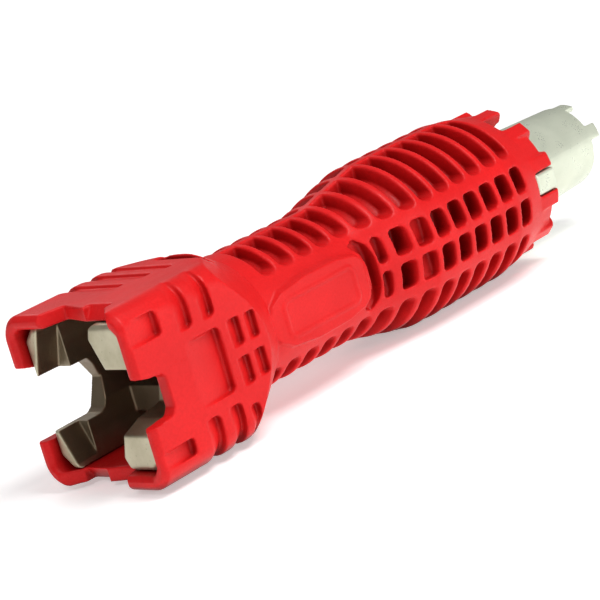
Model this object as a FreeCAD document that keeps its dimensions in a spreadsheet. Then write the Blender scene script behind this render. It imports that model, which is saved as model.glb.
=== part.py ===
import FreeCAD, Part
import math
import os
import re
import Sketcher

Vector = FreeCAD.Vector
Rotation = FreeCAD.Rotation
Placement = FreeCAD.Placement

# A faucet and sink installer: a hollow moulded handle with a square head, a die-cast cube insert
# in the head and a die-cast cylinder insert in the round collar at the other end.
# Every part is drawn about the tool's long axis: x runs from the mouth of the head (0) to the
# collar, y to the side, z up. The final Placement moves the axis to its height above the floor
# and the middle of the tool's length to x = 0.

DIMENSIONS = {
    # whole tool
    "total_length": 289.0,
    "body_length": 237.5,
    "axis_height": 33.9,
    # square head
    "head_half": 32.0,
    "head_corner": 9.5,
    "mouth_bevel": 1.7,
    "socket_half": 26.7,
    "socket_depth": 57.0,
    "socket_corner": 4.0,
    "neck_end": 70.6,
    "neck_slope": 0.63,
    "pocket_lip": 0.3,
    "pocket_depth": 3.2,
    "pocket_rise": 1.5,
    # waist, bulge and collar
    "waist_radius": 26.2,
    "waist_end": 123.0,
    "bulge_start": 155.0,
    "bulge_radius": 33.9,
    "bulge_end": 207.0,
    "band_start": 216.5,
    "band_radius": 32.6,
    "rim_start": 235.3,
    "rim_radius": 28.9,
    "bore_radius": 17.2,
    "chamber_radius": 22.4,
    "collar_socket_start": 178.0,
    "collar_socket_radius": 24.8,
    # grip fins
    "core_waist": 21.2,
    "core_bulge": 27.6,
    "slot_first": 211.4,
    "slot_pitch": 10.0,
    "slot_width": 7.3,
    "slot_corner": 2.6,
    "panel_half": 16.0,
    "spine_half": 1.7,
    # windows in the side panels
    "window_width": 7.6,
    "narrow_window": 4.6,
    "window_low": 1.5,
    "window_high": 11.7,
    "window_corner": 2.0,
    # collar ribs and notches
    "rib_width": 5.4,
    "rib_flare": 1.5,
    "rib_bevel": 1.5,
    "rib_radius": 31.0,
    "rib_start": 221.0,
    "notch_half": 4.75,
    "notch_start": 224.3,
    # blank pad on each side of the waist
    "pad_front": 27.1,
    "scoop_floor": 21.2,
    # cube insert
    "cube_half": 26.45,
    "cube_front": 4.2,
    "cube_back": 56.6,
    "cube_corner": 5.0,
    "jaw_depth": 9.8,
    "inner_half": 18.3,
    "inner_depth": 32.2,
    "channel_half": 8.0,
    "near_corner": 15.6,
    # cylinder insert
    "guide_start": 178.4,
    "guide_end": 233.0,
    "guide_radius": 24.5,
    "tube_root_radius": 18.9,
    "tube_end_radius": 17.1,
    "tube_bore": 14.6,
    "tab_root": 282.2,
    "tab_width": 6.6,
    "lug_width": 8.6,
    "lug_start": 224.9,
    "lug_end": 237.0,
    "lug_radius": 30.5,
}

ALONG = Vector(1, 0, 0)
ACROSS = Vector(0, 1, 0)
UP = Vector(0, 0, 1)
OUTSIDE = "50"
SLOT_COUNT = 15
# each pair of windows from the collar to the waist: its width, and the y distance of its floor
WINDOWS = [("window_width", "25.8")] * 6 + [
    ("window_width", "27.6"), ("window_width", "21.4"), ("narrow_window", "23.4"),
]
TAB_ANGLES = (17, 77, 197, 257)

doc = FreeCAD.newDocument("sink_installer")
sheet = doc.addObject("Spreadsheet::Sheet", "Sheet")
for row, (alias, value) in enumerate(DIMENSIONS.items(), 1):
    sheet.set("A%d" % row, alias)
    sheet.set("B%d" % row, str(value))
    sheet.setAlias("B%d" % row, alias)
doc.recompute()


def expr(text):
    """An expression text with every dimension's name pointed at the sheet."""
    def cell(match):
        word = match.group()
        return "Sheet." + word if word in DIMENSIONS else word

    return re.sub(r"[a-z_]+", cell, str(text))


def bind(item, **sizes):
    """Binds each property, written with _ for its dots, to its expression."""
    for name, text in sizes.items():
        item.setExpression(name.replace("_", "."), expr(text))


def box(label, x, y, z):
    """A box between pairs of expressions along x, y and z."""
    item = doc.addObject("Part::Box", label)
    bind(item, Length="(%s) - (%s)" % (x[1], x[0]), Width="(%s) - (%s)" % (y[1], y[0]))
    bind(item, Height="(%s) - (%s)" % (z[1], z[0]))
    bind(item, Placement_Base_x=x[0], Placement_Base_y=y[0], Placement_Base_z=z[0])
    return item


def turned(item, angle):
    """The item's shape again, turned about the tool's axis by an angle in degrees."""
    carrier = doc.addObject("Part::Compound", "%s_turned_%d" % (item.Name, angle))
    carrier.Links = [item]
    carrier.Placement = Placement(Vector(), Rotation(Vector(1, 0, 0), angle))
    return carrier


def both_sides(items):
    """The items as drawn on the near side, and again half a turn round, on the far side."""
    return items + [turned(item, 180) for item in items]


def rounded(base, radius, direction):
    """The solid with its edges that run roughly along the direction filleted."""
    doc.recompute()
    item = doc.addObject("Part::Fillet", base.Name + "_rounded")
    item.Base = base
    item.Edges = [
        (number, radius, radius)
        for number, edge in enumerate(base.Shape.Edges, 1)
        if abs(edge.tangentAt(edge.FirstParameter).dot(direction)) > 0.8
    ]
    return item


def bevelled(base, size, x):
    """The solid with its edges that lie at x chamfered."""
    doc.recompute()
    item = doc.addObject("Part::Chamfer", base.Name + "_bevelled")
    item.Base = base
    item.Edges = [(n, size, size) for n, edge in enumerate(base.Shape.Edges, 1) if at_plane(edge, x)]
    return item


def parallel(edge, direction):
    """True for an edge of some length that runs along the direction."""
    return abs(edge.tangentAt(edge.FirstParameter).dot(direction)) > 0.999 and edge.Length > 1


def at_plane(edge, x):
    """True for an edge that lies at x."""
    return all(abs(vertex.X - x) < 0.01 for vertex in edge.Vertexes)


def boolean(kind, label, first, rest):
    """Part::Cut of the rest from the first, or Part::MultiFuse / MultiCommon of them all."""
    if kind == "cut":
        item = doc.addObject("Part::Cut", label)
        item.Base = first
        item.Tool = rest[0] if len(rest) == 1 else boolean("fuse", label + "_tools", rest[0], rest[1:])
        return item
    if not rest:
        return first
    item = doc.addObject("Part::MultiFuse" if kind == "fuse" else "Part::MultiCommon", label)
    item.Shapes = [first] + list(rest)
    return item


def add_outline(sketch, corners):
    """A closed outline of straight lines whose corners sit at pairs of expressions."""
    count = len(corners)
    turn = 2 * math.pi / count
    guess = [Vector(50 * math.cos(turn * i), 50 * math.sin(turn * i), 0) for i in range(count)]
    first = sketch.GeometryCount
    for i in range(count):
        sketch.addGeometry(Part.LineSegment(guess[i], guess[(i + 1) % count]), False)
    for i in range(count):
        line = first + i
        following = first + (i + 1) % count
        sketch.addConstraint(Sketcher.Constraint("Coincident", line, 2, following, 1))
    for i, place in enumerate(corners):
        start = guess[i]
        for kind, text, value in (("DistanceX", place[0], start.x), ("DistanceY", place[1], start.y)):
            number = sketch.addConstraint(Sketcher.Constraint(kind, first + i, 1, value))
            sketch.setExpression("Constraints[%d]" % number, expr(text))


def flat_sketch(label, outlines, plane):
    """A sketch on the xz, xy or yz plane through the tool's axis, holding closed outlines."""
    turns = {
        "xz": Rotation(Vector(1, 0, 0), 90),
        "xy": Rotation(),
        "yz": Rotation(Vector(1, 1, 1), 120),
    }
    sketch = doc.addObject("Sketcher::SketchObject", label)
    sketch.Placement = Placement(Vector(), turns[plane])
    for corners in outlines:
        add_outline(sketch, corners)
    return sketch


def revolved(label, *outlines):
    """Closed outlines of (x, radius) turned once round the tool's axis."""
    item = doc.addObject("Part::Revolution", label)
    item.Source = flat_sketch(label + "_outline", outlines, "xz")
    item.Axis = Vector(1, 0, 0)
    item.Angle = 360
    item.Solid = True
    return item


def extruded(label, plane, corners, start, length, taper=0):
    """An outline on a plane, moved to start along the plane's normal and extruded by length."""
    normals = {"xz": Vector(0, -1, 0), "xy": Vector(0, 0, 1), "yz": Vector(1, 0, 0)}
    sketch = flat_sketch(label + "_outline", [corners], plane)
    normal = normals[plane]
    for axis in "xyz":
        part = getattr(normal, axis)
        if part:
            sketch.setExpression("Placement.Base." + axis, expr("%g * (%s)" % (part, start)))
    item = doc.addObject("Part::Extrusion", label)
    item.Base = sketch
    item.DirMode = "Custom"
    item.Dir = normal
    item.setExpression("LengthFwd", expr(length))
    item.Solid = True
    item.TaperAngle = taper
    return item


def octagon(half, chamfer):
    """Corners of a square section with chamfered corners, in y and z."""
    short = "(%s) - (%s)" % (half, chamfer)
    return [
        (half, short), (short, half), ("-(%s)" % short, half), ("-(%s)" % half, short),
        ("-(%s)" % half, "-(%s)" % short), ("-(%s)" % short, "-(%s)" % half),
        (short, "-(%s)" % half), (half, "-(%s)" % short),
    ]


def square_block(label, x, half, corner):
    """A square block along the tool's axis, with its four long edges rounded."""
    block = box(label, x, ("-(%s)" % half, half), ("-(%s)" % half, half))
    return rounded(block, DIMENSIONS[corner], ALONG)


# ---------------------------------------------------------------------------------------------
# Handle: the outer form
# ---------------------------------------------------------------------------------------------

def outer_form():
    """The square head, cut back by a cone to the round waist, then the bulge and the collar."""
    turned_form = revolved("turned_form", [
        ("0", "0"), ("0", "waist_radius + neck_slope * neck_end"), ("neck_end", "waist_radius"),
        ("waist_end", "waist_radius"), ("bulge_start", "bulge_radius - 0.4"),
        ("bulge_start + 9", "bulge_radius"), ("bulge_end", "bulge_radius"),
        ("band_start", "band_radius"), ("rim_start", "rim_radius"), ("rim_start", "0"),
    ])
    square = square_block("square_head", ("0", "neck_end"), "head_half", "head_corner")
    head = bevelled(square, DIMENSIONS["mouth_bevel"], 0)
    rest = revolved("rest_of_handle", [
        ("neck_end - 1", "0"), ("neck_end - 1", OUTSIDE), ("body_length", OUTSIDE), ("body_length", "0"),
    ])
    limits = boolean("fuse", "outer_limits", head, [rest])
    return boolean("common", "outer_form", turned_form, [limits])


def grip_slots():
    """The slots between the grip fins: both sides, above and below the side panels. Nearest the head,
    only the near side's lower slot and its match on the far side are cut."""
    core = revolved("slot_core", [
        ("0", "0"), ("0", "core_waist"), ("waist_end", "core_waist"), ("bulge_start", "core_bulge"),
        ("body_length", "core_bulge"), ("body_length", "0"),
    ])
    corner = DIMENSIONS["slot_corner"]
    near = []
    for i in range(SLOT_COUNT):
        x = centred("slot_first - %d * slot_pitch" % i, "slot_width")
        levels = [("-" + OUTSIDE, "-panel_half")]
        if i < SLOT_COUNT - 1:
            levels.append(("panel_half", OUTSIDE))
        for z in levels:
            near.append(rounded(box("slot", x, ("-" + OUTSIDE, "-spine_half"), z), corner, ACROSS))
    places = both_sides([boolean("fuse", "near_slots", near[0], near[1:])])
    return [boolean("cut", place.Name + "_cutter", place, [core]) for place in places]


def centred(middle, width):
    """The pair of expressions that bound a width about a middle."""
    return ("%s - %s / 2" % (middle, width), "%s + %s / 2" % (middle, width))


# ---------------------------------------------------------------------------------------------
# Handle: recesses in the head
# ---------------------------------------------------------------------------------------------

def sloping_core(label, start, end):
    """A core whose near face slopes in from just outside the head at start to the pocket's depth at
    end, and its under face a little. It stands proud of the head's far and upper faces."""
    proud = "(head_half + 0.6)"
    sections = []
    for name, x, near, under in (("front", start, "-pocket_lip", "-pocket_lip"),
                                 ("back", end, "pocket_depth", "pocket_rise")):
        near_y = "-(head_half - %s)" % near
        under_z = "-(head_half - %s)" % under
        corners = [(near_y, under_z), (proud, under_z), (proud, proud), (near_y, proud)]
        section = flat_sketch("%s_%s" % (label, name), [corners], "yz")
        section.setExpression("Placement.Base.x", expr(x))
        sections.append(section)
    core = doc.addObject("Part::Loft", label)
    core.Sections = sections
    core.Solid = True
    core.Ruled = True
    return core


def wedge_pockets(label, start, end, corner, places, round_head=False):
    """Pockets that start from nothing nearest the mouth and deepen to a wall at the other end.
    With round_head they follow the head's rounded corners."""
    windows = [rounded(box(label + "_place", (start, end), y, z), corner, ACROSS) for y, z in places]
    reach = boolean("fuse", label + "_places", windows[0], windows[1:])
    core = sloping_core(label + "_core", start, end)
    if round_head:
        core = rounded(core, DIMENSIONS["head_corner"], ALONG)
    return boolean("cut", label, reach, [core])


def head_recesses():
    """Every recess in the near half of the head."""
    face = ("-50", "-24")
    upper_corner = (("-50", "-22.6"), ("16", "50"))
    below = ("-50", "-16")
    jaw_places = [(face, ("18.4", "27")), (face, ("-24.6", "-18.6"))]
    large_places = [(face, ("1.9", "12")), (face, ("-12", "-1.9"))]
    small_places = [(face, ("1.9", "11.6")), (face, ("-11.6", "-1.9"))]
    return [
        wedge_pockets("jaw_pockets", "-3", "16.2", 1.2, jaw_places),
        wedge_pockets("front_slots", "22.4", "30.2", 2, [upper_corner, (("-50", "2.9"), below)], True),
        wedge_pockets("middle_slots", "33.7", "41", 2, [upper_corner, (("-50", "5.8"), below)], True),
        wedge_pockets("rear_slot", "43.6", "49", 2, [(("-50", "8.7"), ("-50", "-19"))], True),
        wedge_pockets("face_panel", "21.8", "40.6", 2, [(face, ("-11.8", "11.8"))]),
        wedge_pockets("large_squares", "43.6", "50.6", 1.2, large_places),
        wedge_pockets("small_squares", "52", "58.2", 1, small_places),
        neck_crescent(),
    ]


def neck_crescent():
    """A short ring slot across the underside of the neck cone."""
    ring = revolved("crescent_ring", [("56", "28.4"), ("60.6", "28.4"), ("60.6", OUTSIDE), ("56", OUTSIDE)])
    place = box("crescent_place", ("50", "65"), ("-8", "16.5"), ("-" + OUTSIDE, "0"))
    return boolean("common", "neck_crescent", ring, [place])


def mouth_notches():
    """The gaps between the four jaws. Top and bottom match when the tool is turned over."""
    upper = [
        ("-2", "13"), ("0.5", "10.3"), ("10.4", "6.8"), ("7", "-6.3"),
        ("6.8", "-18"), ("0.4", "-25.2"), ("-2", "-26"),
    ]
    near = [
        ("-2", "8.8"), ("0.5", "8.1"), ("5.6", "6.8"), ("10.8", "6.4"), ("12.1", "4.6"),
        ("12.1", "-6"), ("10.4", "-8.4"), ("0.8", "-9.4"), ("-2", "-10"),
    ]
    far = [
        ("-2", "13.5"), ("0.3", "12.9"), ("6", "11.4"), ("31.5", "10.8"), ("33", "9.2"),
        ("33", "-13"), ("31.5", "-14.9"), ("4", "-14.9"), ("0.3", "-14.4"), ("-2", "-15"),
    ]
    ledge = [("6", "27"), ("7", "27"), ("11", "32.6"), ("6", "32.6")]
    top_and_bottom = [
        extruded("upper_notch", "xy", upper, "18", "20"),
        extruded("notch_ledge", "xz", ledge, "7", "11.5"),
    ]
    return both_sides(top_and_bottom) + [
        extruded("near_notch", "xz", near, "18", "20"),
        extruded("far_notch", "xz", far, "-38", "20"),
    ]


def inner_mouth_bevel():
    """A bevel round the inside edge of the mouth."""
    bevel = doc.addObject("Part::Loft", "inner_mouth_bevel")
    front = flat_sketch("mouth_bevel_front", [octagon("socket_half + 2.2", "socket_corner")], "yz")
    back = flat_sketch("mouth_bevel_back", [octagon("socket_half - 0.2", "socket_corner")], "yz")
    front.setExpression("Placement.Base.x", expr("-mouth_bevel / 3"))
    back.setExpression("Placement.Base.x", expr("mouth_bevel"))
    bevel.Sections = [front, back]
    bevel.Solid = True
    bevel.Ruled = True
    return bevel


# ---------------------------------------------------------------------------------------------
# Handle: hollows, windows and collar
# ---------------------------------------------------------------------------------------------

def hollows():
    """The square socket, the bore through the waist and the round socket behind the collar."""
    square = square_block("square_socket", ("-1", "socket_depth"), "socket_half", "socket_corner")
    turned_hollow = revolved("turned_hollow", [
        ("socket_depth - 1", "0"), ("socket_depth - 1", "bore_radius + 4"),
        ("socket_depth + 3", "bore_radius"), ("waist_end + 8", "bore_radius"),
        ("bulge_start + 4", "chamber_radius"), ("collar_socket_start", "chamber_radius"),
        ("collar_socket_start", "collar_socket_radius"),
        ("body_length + 1", "collar_socket_radius"), ("body_length + 1", "0"),
    ])
    return [square, turned_hollow]


def panel_windows():
    """Two rows of blind windows in the near panel, one pair in line with each slot of the grip."""
    corner = DIMENSIONS["window_corner"]
    cutters = []
    for i, (width, floor) in enumerate(WINDOWS):
        x = centred("slot_first - %d * slot_pitch" % i, width)
        for z in (("window_low", "window_high"), ("-window_high", "-window_low")):
            cutters.append(rounded(box("window", x, ("-" + OUTSIDE, "-" + floor), z), corner, ACROSS))
    return cutters


def pad():
    """The raised pad on the near side of the waist, with a plain raised border."""
    upper_edge = [("68.6", "5"), ("70.4", "7.6"), ("77.5", "11.2"), ("91", "13"), ("108", "12.8"),
                  ("118", "11"), ("121.6", "8.6"), ("122.6", "5")]
    outline = upper_edge + [(x, "-%s" % z) for x, z in reversed(upper_edge)]
    plate = extruded("pad_plate", "xz", outline, "pad_front - 5", "5", -16)
    rims = [
        rounded(box("pad_rim_" + name, (x0, x1), ("-pad_front - 0.55", depth), ("-" + z, z)), radius, ACROSS)
        for name, x0, x1, depth, z, radius in (("outer", "76", "115.5", "-20", "7.4", 4),
                                               ("inner", "77.3", "114.2", "-pad_front", "6.1", 2.8))
    ]
    return [boolean("cut", "pad", boolean("fuse", "pad_with_rim", plate, rims[:1]), rims[1:])]


def scoops():
    """The crescent cut behind the pad."""
    outline = [
        ("119.6", "12.2"), ("122.9", "8.4"), ("123.6", "5"), ("123.6", "-5"), ("122.9", "-8.4"),
        ("119.6", "-12.2"), ("123.4", "-13.8"), ("127", "-10.6"), ("128.2", "-6"), ("128.2", "6"),
        ("127", "10.6"), ("123.4", "13.8"),
    ]
    return [extruded("scoop", "xz", outline, "scoop_floor", "20")]


def collar_ribs():
    """Twelve ribs on the collar, standing a little past its rim, in pairs beside six notches."""
    foot = "collar_socket_radius + 0.6"
    section = [
        ("-rib_width / 2 - rib_flare", foot), ("rib_width / 2 + rib_flare", foot),
        ("rib_width / 2", "rib_radius"), ("-rib_width / 2", "rib_radius"),
    ]
    bar = extruded("rib_bar", "yz", section, "rib_start", "body_length - rib_start")
    limit = revolved("rib_limit", [
        ("rib_start - 1", "0"), ("rib_start - 1", "rib_radius + 1"),
        ("body_length - rib_bevel", "rib_radius + 0.3"), ("body_length", "rib_radius - rib_bevel"),
        ("body_length", "0"),
    ])
    rib = boolean("common", "rib", bar, [limit])
    return [turned(rib, 15 + 30 * i) for i in range(12)]


def collar_notches():
    """Six deep notches in the collar, which take the lugs of the cylinder insert."""
    notch = box("notch", ("notch_start", "body_length + 1"), ("-notch_half", "notch_half"), ("10", "45"))
    rounded_notch = rounded(notch, 1.3, UP)
    return [turned(rounded_notch, 90 + 60 * i) for i in range(6)]


def build_handle():
    slotted = boolean("cut", "slotted_form", outer_form(), grip_slots())
    added = boolean("fuse", "form_with_pads", slotted, both_sides(pad()) + collar_ribs())
    cutters = both_sides(scoops() + panel_windows() + head_recesses()) + mouth_notches()
    return boolean("cut", "handle", added, cutters + [inner_mouth_bevel()] + hollows() + collar_notches())


# ---------------------------------------------------------------------------------------------
# PartDesign helpers for the two inserts
# ---------------------------------------------------------------------------------------------

def body_sketch(body, label, role, offset="0"):
    """A sketch on one of the body's own origin planes, moved along the plane's normal by offset."""
    plane = next(item for item in body.Origin.OriginFeatures if item.Role == role)
    sketch = body.newObject("Sketcher::SketchObject", label)
    sketch.AttachmentSupport = [(plane, "")]
    sketch.MapMode = "FlatFace"
    sketch.setExpression("AttachmentOffset.Base.z", expr(offset))
    return sketch


def feature(body, kind, label, sketch, length=None, **settings):
    """A sketch feature on the body. One that changes no volume is refused."""
    doc.recompute()
    before = body.Shape.Volume if body.Shape.Solids else 0
    item = body.newObject("PartDesign::" + kind, label)
    item.Profile = sketch
    if length is not None:
        item.setExpression("Length", expr(length))
    for name, value in settings.items():
        setattr(item, name, value)
    doc.recompute()
    if abs(body.Shape.Volume - before) < 1:
        raise RuntimeError(label + " changes nothing")
    return item


def soften(body, label, radius, wanted):
    """A fillet on every edge of the body for which wanted(edge) is true."""
    doc.recompute()
    tip = body.Tip
    names = ["Edge%d" % n for n, edge in enumerate(tip.Shape.Edges, 1) if wanted(edge)]
    item = body.newObject("PartDesign::Fillet", label)
    item.Base = (tip, names)
    item.Radius = radius
    doc.recompute()
    return item


# ---------------------------------------------------------------------------------------------
# Cube insert
# ---------------------------------------------------------------------------------------------

def build_cube_insert():
    """A cast block with four prongs: a stepped socket, open above and below, and a gap in each side."""
    body = doc.addObject("PartDesign::Body", "cube_insert")
    outside = body_sketch(body, "cube_outside", "YZ_Plane", "cube_front")
    add_outline(outside, octagon("cube_half", "cube_corner"))
    feature(body, "Pad", "cube_block", outside, "cube_back - cube_front")
    soften(body, "cube_corner_rounds", 3, lambda edge: parallel(edge, ALONG))
    soften(body, "front_rounds", 2.2, lambda edge: at_plane(edge, DIMENSIONS["cube_front"]))

    upper_near = [("-12.4", "27"), ("-9.2", "25.2"), ("-7.6", "21.5")]
    near_side = upper_near + [("-near_corner", "0")] + [(y, "-" + z) for y, z in reversed(upper_near)]
    far_groove = [("inner_half", "-channel_half"), ("21.5", "0"), ("inner_half", "channel_half")]
    far_wall = [("inner_half", "-27")] + far_groove + [("inner_half", "27")]
    sockets = {
        "jaw_socket": ([("17.2", "-27"), ("28", "0"), ("17.2", "27")] + near_side, "jaw_depth"),
        "inner_socket": (far_wall + near_side, "inner_depth"),
        "channel": (
            far_groove + [("-12", "channel_half"), ("-near_corner", "0"), ("-12", "-channel_half")],
            "cube_back - cube_front + 1",
        ),
        "lower_step": (
            [("inner_half", "-17.8"), ("6", "-17.8"), ("6", "-24.5"), ("inner_half", "-24.5")],
            "inner_depth + 4",
        ),
        "upper_step": ([("-6", "17.8"), ("6", "17.8"), ("6", "24.5"), ("-6", "24.5")], "inner_depth + 4"),
    }
    for label, (corners, depth) in sockets.items():
        outline = body_sketch(body, label + "_outline", "YZ_Plane", "cube_front")
        add_outline(outline, corners)
        feature(body, "Pocket", label, outline, depth, Reversed=True)

    rear = body_sketch(body, "rear_socket_outline", "YZ_Plane", "cube_back")
    add_outline(rear, octagon("18.2", "6"))
    feature(body, "Pocket", "rear_socket", rear, "9")

    gaps = {
        "near_gap": ("XZ_Plane", True, [("0", "10.6"), ("9", "10"), ("22", "9"), ("22", "-8"),
                                        ("11.5", "-9.8"), ("0", "-15.6")]),
        "far_gap": ("XZ_Plane", False, [("0", "8.5"), ("22", "8.2"), ("24.5", "5.4"), ("28", "-0.8"),
                                        ("23.3", "-10.6"), ("21", "-12"), ("0", "-12.2")]),
    }
    for label, (role, reverse, corners) in gaps.items():
        outline = body_sketch(body, label + "_outline", role)
        add_outline(outline, corners)
        feature(body, "Pocket", label, outline, "cube_half + 1", Reversed=reverse)
    front = DIMENSIONS["cube_front"]
    soften(body, "near_tip_rounds", 0.8, lambda edge: at_plane(edge, front) and edge.CenterOfMass.y < 0)
    soften(body, "far_tip_rounds", 0.4, lambda edge: at_plane(edge, front) and edge.CenterOfMass.y > 0)
    return body


# ---------------------------------------------------------------------------------------------
# Cylinder insert
# ---------------------------------------------------------------------------------------------

def sector(start, end):
    """A blunt fan between two angles, from well inside the tube's bore to well outside the tube."""
    inside, outside = DIMENSIONS["tube_bore"] / 2, DIMENSIONS["tube_end_radius"] * 2
    turns = [math.radians(start + (end - start) * share) for share in (0, 1 / 3, 2 / 3, 1)]
    outer = [(-outside * math.cos(turn), outside * math.sin(turn)) for turn in turns]
    inner = [(-inside * math.cos(turn), inside * math.sin(turn)) for turn in reversed(turns)]
    return [("%.4f" % y, "%.4f" % z) for y, z in outer + inner]


def build_cylinder_insert():
    """A cast tube: a guide that fills the collar's socket, two lugs, and four tabs at its free end."""
    body = doc.addObject("PartDesign::Body", "cylinder_insert")
    section = body_sketch(body, "cylinder_section", "XZ_Plane")
    add_outline(section, [
        ("guide_start", "guide_radius - 2.6"), ("guide_start", "guide_radius"),
        ("guide_end", "guide_radius"), ("guide_end + 1.5", "tube_root_radius + 1"),
        ("guide_end + 4", "tube_root_radius"), ("total_length - 0.6", "tube_end_radius"),
        ("total_length", "tube_end_radius - 0.6"), ("total_length", "tube_bore"),
        ("guide_end - 6", "tube_bore"), ("guide_end - 12", "guide_radius - 2.6"),
    ])
    feature(body, "Revolution", "turned_tube", section, Angle=360, ReferenceAxis=(section, ["H_Axis"]))
    half_tab = math.degrees(DIMENSIONS["tab_width"] / 2 / DIMENSIONS["tube_end_radius"])
    gap_outline = body_sketch(body, "tab_gap_outline", "YZ_Plane", "tab_root")
    for this, following in zip(TAB_ANGLES, TAB_ANGLES[1:] + (TAB_ANGLES[0] + 360,)):
        add_outline(gap_outline, sector(this + half_tab, following - half_tab))
    feature(body, "Pocket", "tab_gaps", gap_outline, "total_length - tab_root + 1", Reversed=True)
    lugs = body_sketch(body, "lug_outline", "YZ_Plane", "lug_start")
    for sign in ("", "-"):
        add_outline(lugs, [
            (sign + "(guide_radius - 1.5)", "-lug_width / 2"), (sign + "lug_radius", "-lug_width / 2"),
            (sign + "lug_radius", "lug_width / 2"), (sign + "(guide_radius - 1.5)", "lug_width / 2"),
        ])
    feature(body, "Pad", "lugs", lugs, "lug_end - lug_start")
    soften(body, "lug_rounds", 1.1, on_lug_top)
    return body


def on_lug_top(edge):
    """True for the edges round the outer face of a lug."""
    return all(abs(abs(vertex.Y) - DIMENSIONS["lug_radius"]) < 0.01 for vertex in edge.Vertexes)


# ---------------------------------------------------------------------------------------------
# The tool
# ---------------------------------------------------------------------------------------------

nodes = [build_handle(), build_cube_insert(), build_cylinder_insert()]
doc.recompute()
for node in nodes:
    node.Label = node.Name
    node.setExpression("Placement.Base.x", expr("-total_length / 2"))
    node.setExpression("Placement.Base.z", expr("axis_height"))
doc.recompute()

failed = [item.Label for item in doc.Objects if "Invalid" in item.State or "Error" in item.State]
if failed:
    raise RuntimeError("these objects failed: " + ", ".join(failed))
for node in nodes:
    if node.Shape.isNull() or not node.Shape.isValid() or len(node.Shape.Solids) != 1:
        raise RuntimeError(node.Label + " is not one valid solid")
    print(node.Label, "volume %.0f mm3" % node.Shape.Volume, node.Shape.BoundBox)

os.makedirs("parts", exist_ok=True)
for node in nodes:
    node.Shape.exportStep("parts/%s.step" % node.Label)
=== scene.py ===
import math

import bmesh
import bpy
from mathutils import Matrix, Vector


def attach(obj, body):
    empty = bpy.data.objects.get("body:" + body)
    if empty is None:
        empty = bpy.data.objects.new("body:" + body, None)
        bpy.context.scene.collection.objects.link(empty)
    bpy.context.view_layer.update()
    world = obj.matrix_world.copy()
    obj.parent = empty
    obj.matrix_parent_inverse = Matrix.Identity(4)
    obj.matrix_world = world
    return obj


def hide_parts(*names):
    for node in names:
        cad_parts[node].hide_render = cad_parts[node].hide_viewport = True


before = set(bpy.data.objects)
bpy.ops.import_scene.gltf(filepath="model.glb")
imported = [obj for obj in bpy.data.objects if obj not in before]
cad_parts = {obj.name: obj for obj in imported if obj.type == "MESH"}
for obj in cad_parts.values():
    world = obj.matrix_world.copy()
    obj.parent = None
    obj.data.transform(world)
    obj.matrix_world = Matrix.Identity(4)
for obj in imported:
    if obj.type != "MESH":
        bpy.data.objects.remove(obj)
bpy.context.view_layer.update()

MM = 0.001
AXIS_HEIGHT = 33.9 * MM


# ---------------------------------------------------------------------------------------------
# Pieces: each CAD node drawn again with the soft edges that a moulding or a casting has
# ---------------------------------------------------------------------------------------------

def applied(piece, kind, **settings):
    """Adds one modifier to the piece, sets it up and applies it."""
    modifier = piece.modifiers.new(kind.lower(), kind)
    for name, value in settings.items():
        setattr(modifier, name, value)
    with bpy.context.temp_override(object=piece, active_object=piece, selected_objects=[piece]):
        bpy.ops.object.modifier_apply(modifier=modifier.name)


def add_neck_walls(mesh):
    """Closes, in the drawn handle only, four slits where the CAD's socket breaks through the cone."""
    start, end = -91.5 * MM, -86.9 * MM
    inner, start_outer, end_outer = 34.05 * MM, 37.24 * MM, 34.34 * MM
    section = [(start, inner), (start, start_outer), (end, end_outer), (end, inner)]
    form = bmesh.new()
    form.from_mesh(mesh)
    for middle in (45, 135, 225, 315):
        rings = []
        for step in (-13, -6.5, 0, 6.5, 13):
            turn = math.radians(middle + step)
            rings.append([form.verts.new((x, r * math.cos(turn), AXIS_HEIGHT + r * math.sin(turn)))
                          for x, r in section])
        for ring, following in zip(rings, rings[1:]):
            for i in range(len(section)):
                form.faces.new((ring[i], ring[i - 1], following[i - 1], following[i]))
        form.faces.new(rings[0])
        form.faces.new(reversed(rings[-1]))
    form.to_mesh(mesh)
    form.free()


def soft_edged(node, name, voxel, rounds, triangles):
    """A closed copy of a node's shape with every edge rounded by about a voxel's width."""
    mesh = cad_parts[node].data.copy()
    mesh.name = name
    mesh.materials.clear()
    if node == "handle":
        add_neck_walls(mesh)
    piece = bpy.data.objects.new(name, mesh)
    bpy.context.scene.collection.objects.link(piece)
    applied(piece, "WELD", merge_threshold=0.002 * MM)
    applied(piece, "REMESH", mode="VOXEL", voxel_size=voxel, adaptivity=0.0, use_smooth_shade=True)
    applied(piece, "SMOOTH", factor=0.5, iterations=rounds)
    applied(piece, "TRIANGULATE")
    share = triangles / max(triangles, len(piece.data.polygons))
    applied(piece, "DECIMATE", decimate_type="COLLAPSE", ratio=share)
    piece.data.polygons.foreach_set("use_smooth", [True] * len(piece.data.polygons))
    piece.data.update()
    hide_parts(node)
    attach(piece, node)
    return piece


# ---------------------------------------------------------------------------------------------
# Materials
# ---------------------------------------------------------------------------------------------

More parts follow.
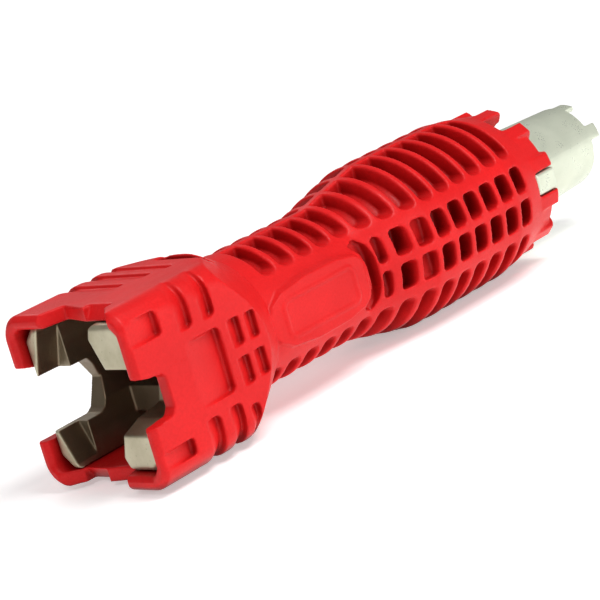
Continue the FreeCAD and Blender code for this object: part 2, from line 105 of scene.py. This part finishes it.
class Shading:
    """A material's node tree, with short calls for the nodes that the materials share."""

    def __init__(self, name, roughness, **constants):
        self.material = bpy.data.materials.new(name)
        self.material.use_nodes = True
        self.tree = self.material.node_tree
        self.shader = next(n for n in self.tree.nodes if n.type == "BSDF_PRINCIPLED")
        self.shader.inputs["Roughness"].default_value = roughness
        for socket, value in constants.items():
            self.shader.inputs[socket.replace("_", " ")].default_value = value
        self.coordinates = self.tree.nodes.new("ShaderNodeTexCoord")
        self.place = self.coordinates.outputs["Object"]

    def link(self, source, target):
        self.tree.links.new(source, target)

    def noise(self, size, detail=3.0, roughness=0.55, stretch=(1, 1, 1)):
        """Noise whose features are about size metres across."""
        mapping = self.tree.nodes.new("ShaderNodeMapping")
        mapping.inputs["Scale"].default_value = stretch
        self.link(self.place, mapping.inputs["Vector"])
        node = self.tree.nodes.new("ShaderNodeTexNoise")
        node.inputs["Scale"].default_value = 1 / size
        node.inputs["Detail"].default_value = detail
        node.inputs["Roughness"].default_value = roughness
        self.link(mapping.outputs["Vector"], node.inputs["Vector"])
        return node.outputs["Fac"]

    def pits(self, size, width):
        """1 at the middle of sparse round pits and 0 between them."""
        node = self.tree.nodes.new("ShaderNodeTexVoronoi")
        node.inputs["Scale"].default_value = 1 / size
        self.link(self.place, node.inputs["Vector"])
        return self.spread(node.outputs["Distance"], width, 0.0, 0.0, 1.0)

    def spread(self, source, low, high, to_low, to_high):
        """The source's range low to high drawn out to to_low to to_high, and clamped there."""
        node = self.tree.nodes.new("ShaderNodeMapRange")
        ends = {"From Min": low, "From Max": high, "To Min": to_low, "To Max": to_high}
        for socket, value in ends.items():
            node.inputs[socket].default_value = value
        self.link(source, node.inputs["Value"])
        return node.outputs["Result"]

    def along(self):
        """Distance along the tool, negative towards the head."""
        node = self.tree.nodes.new("ShaderNodeSeparateXYZ")
        self.link(self.place, node.inputs["Vector"])
        return node.outputs["X"]

    def distance(self):
        """Distance from the piece's origin."""
        node = self.tree.nodes.new("ShaderNodeVectorMath")
        node.operation = "LENGTH"
        self.link(self.place, node.inputs[0])
        return node.outputs["Value"]

    def maths(self, operation, first, second):
        node = self.tree.nodes.new("ShaderNodeMath")
        node.operation = operation
        for socket, value in zip(node.inputs, (first, second)):
            if isinstance(value, float):
                socket.default_value = value
            else:
                self.link(value, socket)
        return node.outputs["Value"]

    def mixed(self, share, first, second):
        """Colour first where share is 0 and second where it is 1. Each is a colour or a socket."""
        node = self.tree.nodes.new("ShaderNodeMix")
        node.data_type = "RGBA"
        sockets = {s.identifier: s for s in node.inputs}
        self.link(share, sockets["Factor_Float"])
        for name, value in (("A_Color", first), ("B_Color", second)):
            if isinstance(value, tuple):
                sockets[name].default_value = (*value, 1)
            else:
                self.link(value, sockets[name])
        return next(s for s in node.outputs if s.identifier == "Result_Color")

    def hollow_shade(self, reach, low, high):
        """1 deep in slots and pockets, 0 in the open, from ambient occlusion; used to paint shade
        there.
        """
        node = self.tree.nodes.new("ShaderNodeAmbientOcclusion")
        node.inputs["Distance"].default_value = reach
        node.samples = 8
        return self.spread(node.outputs["AO"], high, low, 0.0, 1.0)

    def edges(self, low, high):
        """0 on flat and hollow places, 1 along sharp outer edges."""
        geometry = self.tree.nodes.new("ShaderNodeNewGeometry")
        return self.spread(geometry.outputs["Pointiness"], low, high, 0.0, 1.0)

    def inner_faces(self):
        """1 on faces that look in at the tool's axis, 0 on those that look out or along it."""
        facing = self.tree.nodes.new("ShaderNodeVectorMath")
        facing.operation = "DOT_PRODUCT"
        self.link(self.coordinates.outputs["Normal"], facing.inputs[0])
        outward = self.tree.nodes.new("ShaderNodeVectorMath")
        outward.operation = "MULTIPLY_ADD"
        self.link(self.place, outward.inputs[0])
        outward.inputs[1].default_value = (0, 1, 1)
        outward.inputs[2].default_value = (0, 0, -AXIS_HEIGHT)
        direction = self.tree.nodes.new("ShaderNodeVectorMath")
        direction.operation = "NORMALIZE"
        self.link(outward.outputs["Vector"], direction.inputs[0])
        self.link(direction.outputs["Vector"], facing.inputs[1])
        return self.spread(facing.outputs["Value"], -0.3, -0.75, 0.0, 1.0)

    def bump(self, height, distance, strength=1.0, under=None):
        node = self.tree.nodes.new("ShaderNodeBump")
        node.inputs["Distance"].default_value = distance
        node.inputs["Strength"].default_value = strength
        self.link(height, node.inputs["Height"])
        if under is not None:
            self.link(under, node.inputs["Normal"])
        return node.outputs["Normal"]

    def finish(self, colour, roughness, normal):
        self.link(colour, self.shader.inputs["Base Color"])
        self.link(roughness, self.shader.inputs["Roughness"])
        self.link(normal, self.shader.inputs["Normal"])
        return self.material


def red_nylon():
    """Glass-filled red nylon: cloudy colour, a fine moulded grain, paler edges from wear and a painted
    highlight, painted shade in slots.
    """
    look = Shading("red_nylon", 0.4, Specular_IOR_Level=0.16)
    clouds = look.spread(look.noise(30 * MM, 4), 0.35, 0.65, 0.0, 1.0)
    speckle = look.spread(look.noise(0.9 * MM, 2), 0.35, 0.7, 0.0, 1.0)
    red = look.mixed(clouds, (0.62, 0.010, 0.011), (0.72, 0.013, 0.014))
    red = look.mixed(look.maths("MULTIPLY", speckle, 0.35), red, (0.52, 0.003, 0.004))
    # Outer edges lightened toward pale red: partly wear, partly a painted highlight.
    scuffs = look.spread(look.noise(7 * MM, 5, 0.7), 0.5, 0.68, 0.0, 1.0)
    wear_and_highlight = look.maths("MULTIPLY", look.edges(0.52, 0.6), look.spread(scuffs, 0, 1, 0.25, 0.75))
    red = look.mixed(wear_and_highlight, red, (0.80, 0.03, 0.032))
    # Painted shade: slots and pockets darkened toward deep red where ambient occlusion is high.
    red = look.mixed(look.hollow_shade(9 * MM, 0.25, 0.75), red, (0.20, 0.001, 0.001))
    grain = look.noise(0.35 * MM, 2)
    flow = look.noise(9 * MM, 3, 0.5, (0.3, 1, 1))
    gloss = look.maths("ADD", look.spread(grain, 0.3, 0.7, 0.3, 0.44),
                       look.spread(flow, 0.35, 0.65, -0.05, 0.07))
    normal = look.bump(flow, 0.25 * MM, 0.3)
    normal = look.bump(grain, 0.05 * MM, 0.55, normal)
    return look.finish(red, gloss, normal)


def cast_metal(name, light, dark, metallic, roughness, pit_share, stipple, painted_inner_shade=None):
    """A die casting: a stippled skin, small pits, brighter rubbed edges and, when a shade colour is
    given, painted shade inside the head.
    """
    look = Shading(name, roughness, Metallic=metallic)
    clouds = look.spread(look.noise(14 * MM, 4), 0.35, 0.65, 0.0, 1.0)
    colour = look.mixed(clouds, dark, light)
    bright = tuple(min(1.0, channel * 1.2) for channel in light)
    colour = look.mixed(look.edges(0.52, 0.62), colour, bright)
    pits = look.pits(2.2 * MM, pit_share)
    colour = look.mixed(look.maths("MULTIPLY", pits, 0.6), colour, tuple(c * 0.4 for c in dark))
    # Painted shade: faces deep inside the head, and faces that look in at the axis, darkened toward
    # dark brown.
    if painted_inner_shade is not None:
        depth_shade = look.spread(look.along(), -0.1405, -0.130, 0.0, 0.8)
        inner = look.maths("MAXIMUM", look.maths("MULTIPLY", look.inner_faces(), 0.9), depth_shade)
        colour = look.mixed(inner, colour, painted_inner_shade)
    grain = look.noise(0.5 * MM, 3)
    haze = look.noise(6 * MM, 4)
    dull = look.maths("ADD", look.spread(grain, 0.3, 0.7, roughness - 0.06, roughness + 0.06),
                      look.spread(haze, 0.35, 0.65, -0.05, 0.06))
    normal = look.bump(haze, 0.2 * MM, 0.25)
    normal = look.bump(grain, stipple, 0.6, normal)
    hollow = look.maths("SUBTRACT", 1.0, pits)
    normal = look.bump(hollow, 0.12 * MM, 0.5, normal)
    return look.finish(colour, dull, normal)


# ---------------------------------------------------------------------------------------------
# Camera, floor and lights
# ---------------------------------------------------------------------------------------------

def add_camera():
    """The photograph's viewpoint: to the left of the head and a little above, rolled to one side."""
    forward = Vector(CAMERA_FORWARD).normalized()
    level_right = forward.cross(Vector((0, 0, 1))).normalized()
    level_up = level_right.cross(forward)
    right = level_right * math.cos(CAMERA_ROLL) + level_up * math.sin(CAMERA_ROLL)
    up = right.cross(forward)
    camera = bpy.data.objects.new("camera", bpy.data.cameras.new("camera"))
    bpy.context.scene.collection.objects.link(camera)
    rows = [(right[i], up[i], -forward[i], CAMERA_PLACE[i]) for i in range(3)]
    camera.matrix_world = Matrix(rows + [(0, 0, 0, 1)])
    camera.data.lens = CAMERA_LENS
    camera.data.sensor_width = CAMERA_SENSOR
    camera.data.clip_end = 60
    bpy.context.scene.camera = camera


def add_floor():
    """A wide pale floor under the tool, faintly mottled, that glows more where it runs far away."""
    half = FLOOR_HALF
    corners = [(-half, -half, 0), (half, -half, 0), (half, half, 0), (-half, half, 0)]
    mesh = bpy.data.meshes.new("floor")
    mesh.from_pydata(corners, [], [(0, 1, 2, 3)])
    floor = bpy.data.objects.new("floor", mesh)
    bpy.context.scene.collection.objects.link(floor)
    look = Shading("pale_floor", 0.6, Specular_IOR_Level=0.2,
                   Emission_Color=(1, 1, 1, 1), Emission_Strength=0.4)
    glow = look.spread(look.distance(), 0.4, 1.8, 0.4, 1.0)
    look.link(glow, look.shader.inputs["Emission Strength"])
    colour = look.mixed(look.noise(60 * MM, 4), (0.93, 0.93, 0.93), (0.95, 0.95, 0.95))
    rough = look.spread(look.noise(2 * MM, 3), 0.3, 0.7, 0.55, 0.65)
    mesh.materials.append(look.finish(colour, rough, look.bump(look.noise(1 * MM, 2), 0.02 * MM, 0.3)))


def add_light(name, place, size, watts):
    """A square softbox at a place, turned to the middle of the tool."""
    light = bpy.data.lights.new(name, "AREA")
    light.size = size
    light.energy = watts
    softbox = bpy.data.objects.new(name, light)
    bpy.context.scene.collection.objects.link(softbox)
    softbox.location = place
    aim = Vector((0, 0, 0.034)) - Vector(place)
    softbox.rotation_euler = aim.to_track_quat("-Z", "Y").to_euler()


def add_world(strength):
    world = bpy.data.worlds.new("studio")
    world.use_nodes = True
    background = next(n for n in world.node_tree.nodes if n.type == "BACKGROUND")
    background.inputs["Color"].default_value = (1, 1, 1, 1)
    background.inputs["Strength"].default_value = strength
    bpy.context.scene.world = world


# ---------------------------------------------------------------------------------------------
# The scene
# ---------------------------------------------------------------------------------------------

CAMERA_PLACE = (-0.58266, -0.57623, 0.21765)
CAMERA_FORWARD = (0.67147, 0.70444, -0.22999)
CAMERA_ROLL = math.radians(-16.12)
CAMERA_LENS = 132
CAMERA_SENSOR = 36
FLOOR_HALF = 12
WORLD_STRENGTH = 0.22
# name, place in metres, side of the softbox in metres, watts
LIGHTS = (
    ("key", (0.05, -0.55, 1.00), 0.45, 8.8),
    ("fill", (0.45, -1.00, 0.30), 0.5, 2.9),
    ("front", (-0.75, -0.25, 0.75), 0.35, 1.9),
    ("back", (0.40, 0.90, 0.80), 0.5, 1.6),
)

add_camera()
add_floor()
add_world(WORLD_STRENGTH)
for light in LIGHTS:
    add_light(*light)
bpy.context.scene.view_settings.view_transform = "Standard"

# The zinc's last colour is painted shade for the faces deep inside the head.
ZINC = cast_metal("cast_zinc_skin", light=(0.56, 0.52, 0.38), dark=(0.42, 0.38, 0.26), metallic=0.75,
                  roughness=0.40, pit_share=0.16, stipple=0.08 * MM, painted_inner_shade=(0.15, 0.10, 0.055))
ALUMINIUM = cast_metal("cast_aluminium_skin", light=(0.70, 0.74, 0.60), dark=(0.62, 0.66, 0.53),
                       metallic=0.5, roughness=0.34, pit_share=0.03, stipple=0.02 * MM)
# node, piece, material slot, material, voxel in millimetres, rounds of smoothing, triangles
PIECES = (
    ("handle", "handle_moulding", "nylon", red_nylon(), 0.5, 5, 190000),
    ("cube_insert", "cube_insert_casting", "cast_zinc", ZINC, 0.4, 3, 120000),
    ("cylinder_insert", "cylinder_insert_casting", "cast_aluminium", ALUMINIUM, 0.4, 3, 120000),
)
for node, name, slot, material, voxel, rounds, triangles in PIECES:
    piece = soft_edged(node, name, voxel * MM, rounds, triangles)
    piece.data.materials.append(material)
